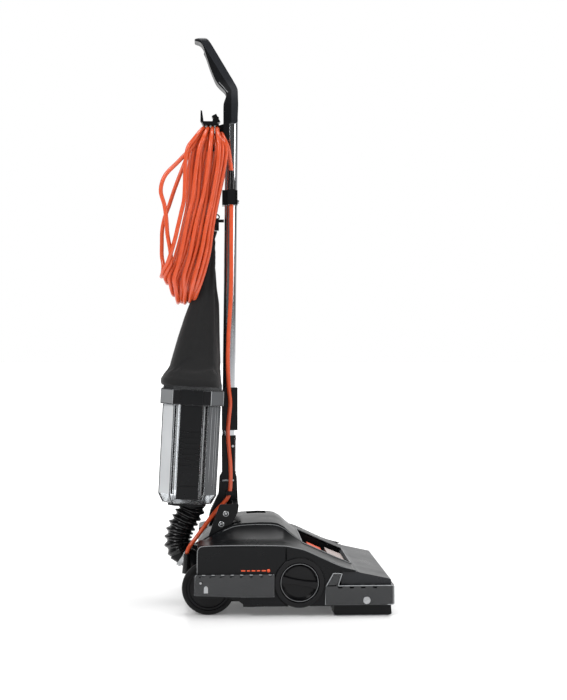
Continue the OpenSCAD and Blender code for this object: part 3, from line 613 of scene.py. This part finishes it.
def cup_pane(name, plan, low, high, slot_name, lift=0.35, inset=1.2):
    """A thin upright plate over one flat of the cup, between two heights of the cup's frame."""
    (xa, ya), (xb, yb) = plan
    along = Vector((xb - xa, yb - ya)).normalized()
    out = Vector((along.y, -along.x))
    if out.y * ya < 0:
        out = -out
    a, b = Vector((xa, ya)) + along * inset, Vector((xb, yb)) - along * inset
    verts = []
    for depth in (0.0, lift):
        for end, z in ((a, low), (a, high), (b, high), (b, low)):
            place = end + out * depth
            verts.append(in_cup(place.x, place.y, z))
    faces = [(0, 1, 2, 3), (7, 6, 5, 4)] + [(k, k + 4, (k + 1) % 4 + 4, (k + 1) % 4)
                                            for k in range(4)]
    piece = outward(mesh_piece(name, verts, faces, slot_name))
    add_bevel(piece, 0.12)
    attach(piece, "handle")


def cup_line(name, points, radius, slot_name):
    line = [in_cup(*p) for p in points]
    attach(tube(name, line, radius * MM, slot_name, 8), "handle")


def add_cup_facets():
    """The cut corners of cup and ring: pale towards the back as painted highlight, darker towards
    the tube as painted shade, with painted highlight lines on edges and sides.
    """
    for side, sign in (("near", -1), ("far", 1)):
        cup = [(x, sign * y) for x, y in CUP_CORNERS]
        ring = [(x, sign * y) for x, y in RING_CORNERS]
        # Cup facets: the rear ones in painted highlight, the front ones in painted shade.
        for end, plan, look in (("rear", cup[:2], "painted_light_facet"), ("front", cup[2:], "painted_shade_grey")):
            cup_pane(f"cup_pane_{side}_{end}", plan, *CUP_HEIGHTS, look)
        cup_pane(f"ring_flat_{side}", ring[1:3], *RING_HEIGHTS, "gloss_black")
        # Ring facets: the rear in painted highlight grey, the front in painted shade grey.
        for end, plan, look in (("rear", ring[:2], "painted_highlight_grey"), ("front", ring[2:], "painted_shade_grey")):
            cup_pane(f"ring_pane_{side}_{end}", plan, *RING_HEIGHTS, look)
            # Painted highlight lines down the ring's corners.
            for k, (x, y) in enumerate(plan):
                cup_line(f"ring_edge_{side}_{end}_{k}", [(x, y, 1), (x, y, 15), (x, y, 29.5)], 0.7,
                         "painted_highlight_pale")
        # Corner lines down the cup in painted shade grey.
        for k, (x, y) in enumerate(cup):
            foot_x, foot_y = x * 0.84, y * 0.86
            edge = [(x, y, -1), (x, y, -60), (x, y, -120), (x, y, -178),
                    ((x + foot_x) / 2, (y + foot_y) / 2, -187), (foot_x, foot_y, -195.5)]
            cup_line(f"cup_edge_{side}_{k}", edge, 1.1, "painted_shade_grey")
        # Down each cup side: pale lines are painted highlights, beside dark strips.
        for k, (x, look) in enumerate(((-26.5, "painted_highlight_pale"), (-31, "gloss_black"),
                                       (26, "painted_highlight_pale"), (30, "gloss_black"))):
            cup_line(f"cup_rib_and_highlight_{side}_{k}", [(x, sign * 75.2, z) for z in (-1, -60, -120, -176)],
                     0.9 if look == "painted_highlight_pale" else 1.6, look)
        # Painted highlight streaks near the cup's front corner.
        for k, shift in enumerate((6, 13, 17)):
            x, y = CUP_CORNERS[2][0] + shift, CUP_CORNERS[2][1] - shift
            cup_line(f"cup_highlight_streak_{side}_{k}",
                     [(x + 0.3, sign * (y + 0.3), z) for z in (-3, -60, -120, -150 - 8 * k)], 0.55,
                     "painted_highlight_pale")


def add_clip_pin():
    pin = tube("bail_pin", [metres((x, -16.6, 243)) for x in range(-101, -75, 4)], 1.9 * MM,
               "zinc", 16)
    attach(pin, "handle")


def add_sleeve_trim():
    """Bright strips down the lower sleeve and painted highlight lines along the grip's rear edges,
    one on each side.
    """
    for sign, side in ((-1, "near"), (1, "far")):
        line = [metres((-74.2 + 0.0108 * (z - 258), sign * 14.6, z)) for z in range(258, 333, 6)]
        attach(tube(f"sleeve_strip_{side}", line, 1.5 * MM, "chrome_tube", 12), "handle")
        # Painted highlight line along the grip's rear edge.
        edge = [(-137.5, 1110.5), (-126.7, 1086), (-116.4, 1059), (-109, 1047), (-98.7, 1035.5),
                (-89, 1024)]
        half = (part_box("grip_front")[1].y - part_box("grip_front")[0].y) / MM / 2
        line = smooth_line([metres((x, sign * (half - 1.2), z)) for x, z in edge], 0.004)
        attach(tube(f"grip_edge_highlight_{side}", line, 0.8 * MM, "painted_highlight_grey", 8), "handle")


# ---------------------------------------------------------------- motor hood

FLANK = [(-149, 131), (-147, 133), (-140, 135), (17, 135), (53, 127.5), (120, 97.5), (152, 86)]
DOME = [(-149, 121), (-137, 132), (-116, 146), (-92, 159), (-78, 165), (-60, 168), (-28, 169.5),
        (-4, 169), (8, 167), (20, 161), (38, 145.5), (58, 129), (152, 86.5)]
RIDGE_Y = 95
SHELF_Y = 141
SIDE_Y = 182
RECESS_X = (54, 151)
RECESS_Y = 103
SLOT_X = -66
SLOT_Y = (74.9, 85.1)
POCKET_X = (-50, -10)
POCKET_Y = (38, 86)
POCKET_Z = 163.6
WALL_FOOT = 84
PORT = (45, 64.5, 47.8)
PORT_GAP = 2.7


def hood_z(x, y):
    flank, dome = rising(FLANK, x), rising(DOME, x)
    away = abs(y)
    if away <= RIDGE_Y:
        crown = -2.5 * (away / RIDGE_Y) ** 2 * ease((70 - x) / 40)
        return dome + crown + 1.5 * ease((40 - x) / 40)
    fall = min(1.0, (away - RIDGE_Y) / (SHELF_Y - RIDGE_Y))
    edge = dome - 2.5 * ease((70 - x) / 40) + 1.5 * ease((40 - x) / 40)
    return flank + max(0.0, edge - flank) * (1 - fall) ** 2.1


def wall_foot(x):
    """Lower edge of the hood's near side wall, which arches over the selector port."""
    port_x, port_z, port_r = PORT
    reach = (port_r + PORT_GAP) ** 2 - (x - port_x) ** 2
    return max(WALL_FOOT, port_z + math.sqrt(reach)) if reach > 0 else WALL_FOOT


def add_hood():
    """Low shelf with a rounded dome whose sides sweep out in a hollow curve."""
    xs = sorted({-149, -147, -144, -140, SLOT_X, *POCKET_X, 17, 53, RECESS_X[0], 58, 152}
                | set(range(-136, 152, 4)))
    half = [0, 12, 24, POCKET_Y[0], 50, 62, *SLOT_Y, POCKET_Y[1], 91, RIDGE_Y, 97, 100, RECESS_Y,
            105, 109, 113, 118, 123, 128, 133, 137, SHELF_Y, 148, 156, 164, 172, 178, 181, SIDE_Y]
    ys = [-y for y in half[:0:-1]] + half
    verts, index = [], {}

    def point(i, j, drop=None):
        key = (i, j, drop)
        if key not in index:
            z = hood_z(xs[i], ys[j]) if drop is None else drop
            index[key] = len(verts)
            verts.append(metres((xs[i], ys[j], z)))
        return index[key]

    faces = []
    for i in range(len(xs) - 1):
        for j in range(len(ys) - 1):
            x, y = (xs[i] + xs[i + 1]) / 2, (ys[j] + ys[j + 1]) / 2
            in_recess = x > RECESS_X[0] and abs(y) < RECESS_Y
            in_slot = x < SLOT_X and SLOT_Y[0] < abs(y) < SLOT_Y[1]
            in_pocket = POCKET_X[0] < x < POCKET_X[1] and POCKET_Y[0] < y < POCKET_Y[1]
            if not (in_recess or in_slot or in_pocket):
                faces.append((point(i, j), point(i + 1, j), point(i + 1, j + 1), point(i, j + 1)))
    last = len(ys) - 1
    for i in range(len(xs) - 1):
        for j in (0, last):
            foot = [wall_foot(xs[k]) if j == 0 else WALL_FOOT for k in (i, i + 1)]
            faces.append((point(i, j), point(i + 1, j), point(i + 1, j, foot[1]),
                          point(i, j, foot[0])))
    for j in range(last):
        y = (ys[j] + ys[j + 1]) / 2
        if not SLOT_Y[0] < abs(y) < SLOT_Y[1]:
            faces.append((point(0, j), point(0, j + 1), point(0, j + 1, 62), point(0, j, 62)))
    piece = outward(mesh_piece("hood_shell", verts, faces, "black_shell"))
    piece.data.set_sharp_from_angle(angle=math.radians(24))
    wall = piece.modifiers.new("wall", "SOLIDIFY")
    wall.thickness = 2.4 * MM
    wall.offset = -1
    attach(piece, "base")
    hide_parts("motor_hood")


def add_hood_trim():
    """The hood's shallow pocket, painted highlight lines along the dome's ridges, a raised recess
    rim in painted highlight grey, and the lamp lens.
    """
    low = (POCKET_X[0] - 1, POCKET_Y[0] - 1, POCKET_Z - 2)
    high = (POCKET_X[1] + 1, POCKET_Y[1] + 1, POCKET_Z)
    pocket = rounded_box("hood_pocket", low, high, "black_shell", 0.6)
    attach(pocket, "base")
    for side, sign in (("near", -1), ("far", 1)):
        # Painted highlight line along each ridge of the dome.
        line = smooth_line([metres((x, sign * (RIDGE_Y + 3), hood_z(x, RIDGE_Y + 3) + 0.1))
                            for x in (-100, -92, -78, -60, -28, 4, 14, 22, 34, 46, 56)], 0.004)
        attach(tube(f"dome_ridge_highlight_{side}", line, 0.7 * MM, "painted_highlight_grey", 8), "base")
    # A raised rim tube round the recess, coloured pale as a painted highlight.
    corners = [(RECESS_X[i], j * RECESS_Y) for i, j in ((0, -1), (0, 1), (1, 1), (1, -1))]
    for k, (x0, y0) in enumerate(corners):
        x1, y1 = corners[(k + 1) % 4]
        line = []
        for t in range(17):
            x, y = x0 + (x1 - x0) * t / 16, y0 + (y1 - y0) * t / 16
            line.append(metres((x, y, hood_z(x, y) + 0.3)))
        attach(tube(f"recess_rim_highlight_{k}", line, 1.5 * MM, "painted_highlight_grey", 10), "base")
    lens = plate("lens_cover", [(110, 78.4), (144.4, 78.4), (144.4, 84.4), (110, 98.6)], -70, 40,
                 "lens_pale", 1.2)
    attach(lens, "base")
    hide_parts("window_lens")


def arc(start, end, steps=28):
    """Points round the selector port, from one angle to another, in degrees."""
    x, z, r = PORT
    return [(x + r * math.cos(math.radians(start + (end - start) * k / steps)),
             z + r * math.sin(math.radians(start + (end - start) * k / steps)))
            for k in range(steps + 1)]


SKIN_Y = (182.3, 185)
SKIN_TOP = [(-148.2, 126), (-147, 129.5), (-144.5, 132.5), (-141, 134), (18.6, 134)]
PORT_REAR = arc(123.5, 236.5)
SKIN_REAR = [(-149, 79), *SKIN_TOP, *PORT_REAR, (18.6, 20.5), (-55, 19), (-70, 30), (-92, 37),
             (-149, 37)]
PORT_FRONT = arc(-66, 120.5)
SKIN_FRONT = [(20.4, 133.6), (53, 126.5), (124, 95), (155, 86.5), (122, 84), (114, 58),
              (108, 58), (108, 21), (64, 20.2), *PORT_FRONT]
# Path of the painted highlight line along each side skin's upper edges.
SKIN_HIGHLIGHT_LINE = [(-149, 82), *SKIN_TOP, (30, 131.8), (53, 126.7), (88, 111), (124, 95.2), (155, 86.7)]
CHEEK_Y = (185.4, 188.4)
CHEEK = [(108.6, 83), (126, 82), (117, 59.6), (94.5, 59.2)]


def add_side_skins():
    """Side skins in two parts with a fine joint, a painted highlight line along their upper edges,
    and the smoked cheek over each front corner.
    """
    for side, sign in (("near", -1), ("far", 1)):
        y0, y1 = sorted(sign * y for y in SKIN_Y)
        outlines = [SKIN_REAR, SKIN_FRONT]
        if side == "far":
            outlines = [[p for p in SKIN_REAR if p not in PORT_REAR],
                        [p for p in SKIN_FRONT if p not in PORT_FRONT] + [(20.4, 20.4)]]
        rear = plate(f"skin_rear_{side}", outlines[0], y0, y1, "black_shell", 1.3)
        front = plate(f"skin_front_{side}", outlines[1], y0, y1, "black_shell", 1.3)
        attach(rear, "base")
        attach(front, "base")
        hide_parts(f"side_panel_{side}")
        # Painted highlight line along the skin's upper edges.
        line = smooth_line([metres((x, sign * 184.3, z)) for x, z in SKIN_HIGHLIGHT_LINE], 0.004)
        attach(tube(f"skin_edge_highlight_{side}", line, 0.9 * MM, "painted_highlight_grey", 8), "base")
        y0, y1 = sorted(sign * y for y in CHEEK_Y)
        cheek = plate(f"cheek_{side}", CHEEK, y0, y1, "smoke_plastic", 0.8)
        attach(cheek, "base")


def add_side_dashes():
    """Plain orange dashes and a dot on the near side, in place of any lettering."""
    for k, (x, size) in enumerate(((-66, 8), (-55, 6), (-46, 7), (-36, 6), (-27, 8))):
        dash = rounded_box(f"trim_dash_{k}", (x, -185.5, 86.8), (x + size, -184.9, 89.2),
                           "orange_pedal", 0.3)
        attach(dash, "base")
    dot = turned("trim_dot", [(0.2, 0), (3.2, 0), (3.2, 0.5), (0.2, 0.5)], (-14, -185, 88),
                 (0, -1, 0), "orange_pedal", 24)
    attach(dot, "base")


# ---------------------------------------------------------------- selector knob

KNOB_R = 37
KNOB_TILT = -10


def add_knob():
    """Round knob: a rim with a painted highlight ring, two sunken halves and a raised grip bar
    across.
    """
    (port_x, port_z, _), r = PORT, KNOB_R
    profile = [(0.5, 158), (r - 4, 158), (r - 4, 176), (r, 177), (r, 184), (r - 1, 185),
               (r - 2.6, 185), (r - 3.4, 184), (r - 4, 179), (r - 6, 177.5), (0.5, 177.5)]
    face = turned("knob_face", profile, (port_x, 0, port_z), (0, -1, 0), "gloss_black", 96)
    face.data.set_sharp_from_angle(angle=math.radians(30))
    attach(face, "knob")
    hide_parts("selector_knob")
    # Painted highlight: a thin pale ring round the knob's rim.
    bead = [metres((port_x + 35.6 * math.cos(a), -185.3, port_z + 35.6 * math.sin(a)))
            for a in (math.pi * k / 30 for k in range(61))]
    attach(tube("knob_rim_highlight", bead, 0.55 * MM, "painted_highlight_grey", 6), "knob")
    tilt = math.radians(KNOB_TILT)
    half_l, half_w = 34.5, 6.2
    outline = [(-half_l, -half_w - 1.5), (-half_l, half_w + 1.5), (-12, half_w - 1),
               (12, half_w - 1), (half_l, half_w + 1.5), (half_l, -half_w - 1.5),
               (12, -half_w + 1), (-12, -half_w + 1)]
    turned_outline = [(port_x + x * math.cos(tilt) - z * math.sin(tilt),
                       port_z + x * math.sin(tilt) + z * math.cos(tilt)) for x, z in outline]
    bar = plate("knob_bar", turned_outline, -184.6, -170, "gloss_black", 1.6)
    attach(bar, "knob")
    for side in (-1, 1):
        start = 90 * side - 62
        arch = [(port_x + 30.5 * math.cos(math.radians(start + 124 * k / 20 + KNOB_TILT)),
                 port_z + 30.5 * math.sin(math.radians(start + 124 * k / 20 + KNOB_TILT)))
                for k in range(21)]
        line = [metres((x, -178.2, z)) for x, z in arch]
        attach(tube(f"knob_arch_{side + 1}", line, 1.3 * MM, "gloss_black", 8), "knob")


# ---------------------------------------------------------------- bumpers and fixings

BUMPER_Y = 190
BOLT_PLACES = ((-93.8, 184), (-102.7, 163.5))
BOLT_RING = [(5.6, 0), (5.6, 0.6), (5.0, 1.0), (4.4, 1.0), (4.4, 0.4), (0.2, 0.4)]
BOLT_SEAT = [(0.2, 0), (4.3, 0), (4.3, 0.6), (0.2, 0.6)]
BOLT_HEAD = [(0.2, 0), (2.9, 0), (2.9, 1.6), (2.2, 2.2), (0.2, 2.3)]


def add_bolt_faces(side, sign):
    """A ring, a dark seat and a six-sided head over each of the bail's bolts on one side."""
    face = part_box("handle_bolts")[0 if sign < 0 else 1].y / MM
    for x, z in BOLT_PLACES:
        for name, profile, look, sides in (("bail_bolt", BOLT_RING, "zinc", 36),
                                           ("bail_bolt_seat", BOLT_SEAT, "rubber_black", 36),
                                           ("bail_bolt_head", BOLT_HEAD, "zinc", 6)):
            piece = turned(f"{name}_{side}_{round(z)}", profile, (x, face, z), (0, sign, 0), look,
                           sides)
            if profile is BOLT_RING:
                piece.data.set_sharp_from_angle(angle=math.radians(30))
            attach(piece, "handle")


def add_rims():
    """Painted highlight lines along the smoked bumpers' rims, dark notches, a stud and a screw,
    and the bail's bolts.
    """
    for side, sign in (("near", -1), ("far", 1)):
        y = sign * BUMPER_Y
        rear = [(-154, 43.5), (-151.6, 80.6), (-4, 80.6), (-4, 39), (-60, 39), (-154, 43.5)]
        front = [(95, 57.5), (93.8, 23), (222, 22.6), (224.6, 24), (224.6, 57.2), (222, 58.6),
                 (118, 58.6)]
        cheek = [(95, 57.5), (109, 82.4), (125.4, 81.8), (118, 58.6)]
        # Thin tubes along each bumper outline, pale as a painted highlight on the rims.
        for name, outline in (("rear", rear), ("front", front), ("cheek", cheek)):
            for k in range(len(outline) - 1):
                a, b = (metres((x, y - sign * 0.9, z)) for x, z in outline[k : k + 2])
                count = max(2, round((b - a).length / 0.012))
                line = [a.lerp(b, t / count) for t in range(count + 1)]
                lip = tube(f"lip_{name}_{side}_{k}", line, 0.85 * MM, "painted_highlight_pale", 8)
                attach(lip, "base")
        for k in range(7):
            x = -146 + 19.4 * k
            notch = rounded_box(f"notch_{side}_{k}", (x, min(y, y - sign * 2), 75.4),
                                (x + 4.6, max(y, y - sign * 2), 79), "black_shell", 0.5)
            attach(notch, "base")
        stud = [(-136.5, 47), (-136.5, 56), (-135.5, 59), (-132.5, 60.6), (-129.5, 59),
                (-128.5, 56), (-128.5, 47)]
        y0, y1 = sorted((y - sign * 0.8, y + sign * 0.4))
        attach(plate(f"bumper_stud_{side}", stud, y0, y1, "zinc", 0.4), "base")
        screw = [(0.4, 0), (3.4, 0), (3.4, 1.2), (1.2, 1.6), (0.4, 0.8)]
        dark = turned(f"bumper_screw_{side}", screw, (-142.5, y - sign * 0.6, 66), (0, sign, 0),
                      "gloss_black", 24)
        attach(dark, "base")
        add_bolt_faces(side, sign)


# ---------------------------------------------------------------- hose

HOSE = [(-184.5, 0, 98.5), (-188.5, 0, 108), (-190, 0, 118), (-188.5, 0, 132), (-184, 0, 146),
        (-174, 0, 165), (-164, 0, 183), (-158, 0, 200)]
HOSE_RIB = 12


def add_hose():
    """Stretch hose with a spiral rib that fades into a plain cuff at each end."""
    line = smooth_line([metres(p) for p in HOSE], 0.0013)
    frames = line_frames(line)
    total = sum((b - a).length for a, b in zip(line, line[1:])) / MM
    sides = 48
    rings, walked = [], 0.0
    for i, (centre, (_, side, up)) in enumerate(zip(line, frames)):
        if i:
            walked += (centre - line[i - 1]).length / MM
        cuff = max(1 - ease(walked / 10), 1 - ease((total - walked) / 14))
        ring = []
        for k in range(sides):
            a = 2 * math.pi * k / sides
            wave = 0.5 + 0.5 * math.cos(2 * math.pi * walked / HOSE_RIB - a)
            r = 22 + 6.4 * wave**1.3 * (1 - cuff) + 2.0 * cuff
            ring.append(centre + (side * math.cos(a) + up * math.sin(a)) * r * MM)
        rings.append(ring)
    piece = loft("suction_hose", rings, "rubber_black")
    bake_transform(piece)
    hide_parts("hose")


# ---------------------------------------------------------------- dust bag

# Height, rear edge, front edge and half depth of the bag.
BAG = [(434, -221.5, -101, 79), (440, -223.6, -102, 80), (446, -222.6, -102.8, 79),
       (453, -217.6, -103.4, 75), (461, -214, -104, 71), (490, -206, -104.6, 61),
       (532, -194.3, -105.8, 47), (575, -180.5, -106.4, 34), (604, -169.5, -107, 24),
       (636, -158.5, -111.6, 17), (668, -148.5, -114, 12.5), (700, -136, -118, 9),
       (715, -128.5, -120.5, 8), (728, -125, -117, 8.5), (746, -119.5, -110.5, 8.5)]
BAG_SIDES = 72
BAG_LEVELS = [*range(434, 453, 3), *(452 + 4.9 * k for k in range(1, 61))]
# The cloth is held fast below the first height and above the second, and the hold fades upwards
# from the first over HOLD_FADE.
FREE_FROM, FREE_TO = 444, 742
HOLD_FADE = 30
# In front of this place, in metres, the cloth lies near the tube and isn't moved forward.
FORWARD_LIMIT = -0.118


def bag_ring(z):
    """One level of the bag: a rounded box low down, and a flat oval near the clip."""
    x0, x1, half = (rising([(b[0], b[k]) for b in BAG], z) for k in (1, 2, 3))
    lean = (1 - ease((z - 440) / 70)) * math.tan(CUP_TILT)
    power = 0.5 + 0.36 * ease((z - 470) / 200)
    slack = ease((z - 446) / 60) * (1 - ease((z - 640) / 70))
    ring = []
    for k in range(BAG_SIDES):
        a = 2 * math.pi * k / BAG_SIDES
        c, s = math.cos(a), math.sin(a)
        x = (x0 + x1) / 2 + (x1 - x0) / 2 * math.copysign(abs(c) ** power, c)
        y = half * math.copysign(abs(s) ** power, s)
        crease = 0.10 * math.exp(-((c - 0.12) / 0.34) ** 2)
        crease -= 0.05 * math.exp(-((c - 0.52) / 0.09) ** 2)
        y *= 1 - slack * (crease + 0.012 * math.sin(9 * c + 0.02 * z))
        ring.append(metres((x, y, z - lean * (x - CUP_PLACE[0]))))
    return ring


def simulate_bag(piece, pinned, frames=24, reach=0.005):
    """Lets the cloth settle between its held top and bottom. No point moves further than reach."""
    before = [v.co.copy() for v in piece.data.vertices]
    held = piece.vertex_groups.new(name="held")
    for index, weight in pinned:
        held.add([index], weight, "REPLACE")
    cloth = piece.modifiers.new("cloth", "CLOTH")
    settings = cloth.settings
    settings.quality = 7
    settings.mass = 0.2
    settings.tension_stiffness = settings.compression_stiffness = 12
    settings.shear_stiffness = 6
    settings.bending_stiffness = 0.35
    settings.vertex_group_mass = "held"
    settings.pin_stiffness = 1
    settings.shrink_min = -0.03
    settings.use_pressure = True
    settings.uniform_pressure_force = 2.2
    cloth.collision_settings.use_collision = False
    cloth.point_cache.frame_end = frames
    scene = bpy.context.scene
    for step in range(1, frames + 1):
        scene.frame_set(step)
    settled = piece.evaluated_get(bpy.context.evaluated_depsgraph_get()).data
    after = [v.co.copy() for v in settled.vertices]
    piece.modifiers.remove(cloth)
    piece.vertex_groups.clear()
    for vertex, a, b in zip(piece.data.vertices, before, after):
        move = b - a
        if a.x > FORWARD_LIMIT:
            move.x = min(0.0, move.x)
        if move.length > reach:
            move *= reach / move.length
        vertex.co = a + move
    scene.frame_set(1)


def add_bag():
    rings = [bag_ring(z) for z in BAG_LEVELS]
    piece = loft("dust_bag", rings, "bag_fabric", ends=(False, False))
    rand = random.Random(7)
    shifts = [Vector((rand.uniform(-1, 1), rand.uniform(-1, 1), rand.uniform(-1, 1)))
              for _ in piece.data.vertices]
    for vertex, shift in zip(piece.data.vertices, shifts):
        vertex.co += shift * 0.0002
    pinned = []
    for level, z in enumerate(BAG_LEVELS):
        held = z < FREE_FROM or z > FREE_TO
        weight = 1.0 if held else max(0.0, 1 - (z - FREE_FROM) / HOLD_FADE)
        for k in range(BAG_SIDES):
            if weight > 0:
                pinned.append((level * BAG_SIDES + k, weight))
    simulate_bag(piece, pinned)
    hem = piece.modifiers.new("cloth_thickness", "SOLIDIFY")
    hem.thickness = 0.0012
    hem.offset = 0
    smooth = piece.modifiers.new("smooth", "SUBSURF")
    smooth.levels = smooth.render_levels = 1
    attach(piece, "handle")
    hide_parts("bag")


add_camera()
add_studio()
add_stage()
add_cord()
for node_name in NODES:
    dress_node(node_name)
add_hood()
add_hood_trim()
add_side_skins()
add_side_dashes()
add_knob()
add_rims()
add_hose()
add_cup_inside()
add_cup_facets()
add_sleeve_trim()
add_clip_pin()
add_bag()
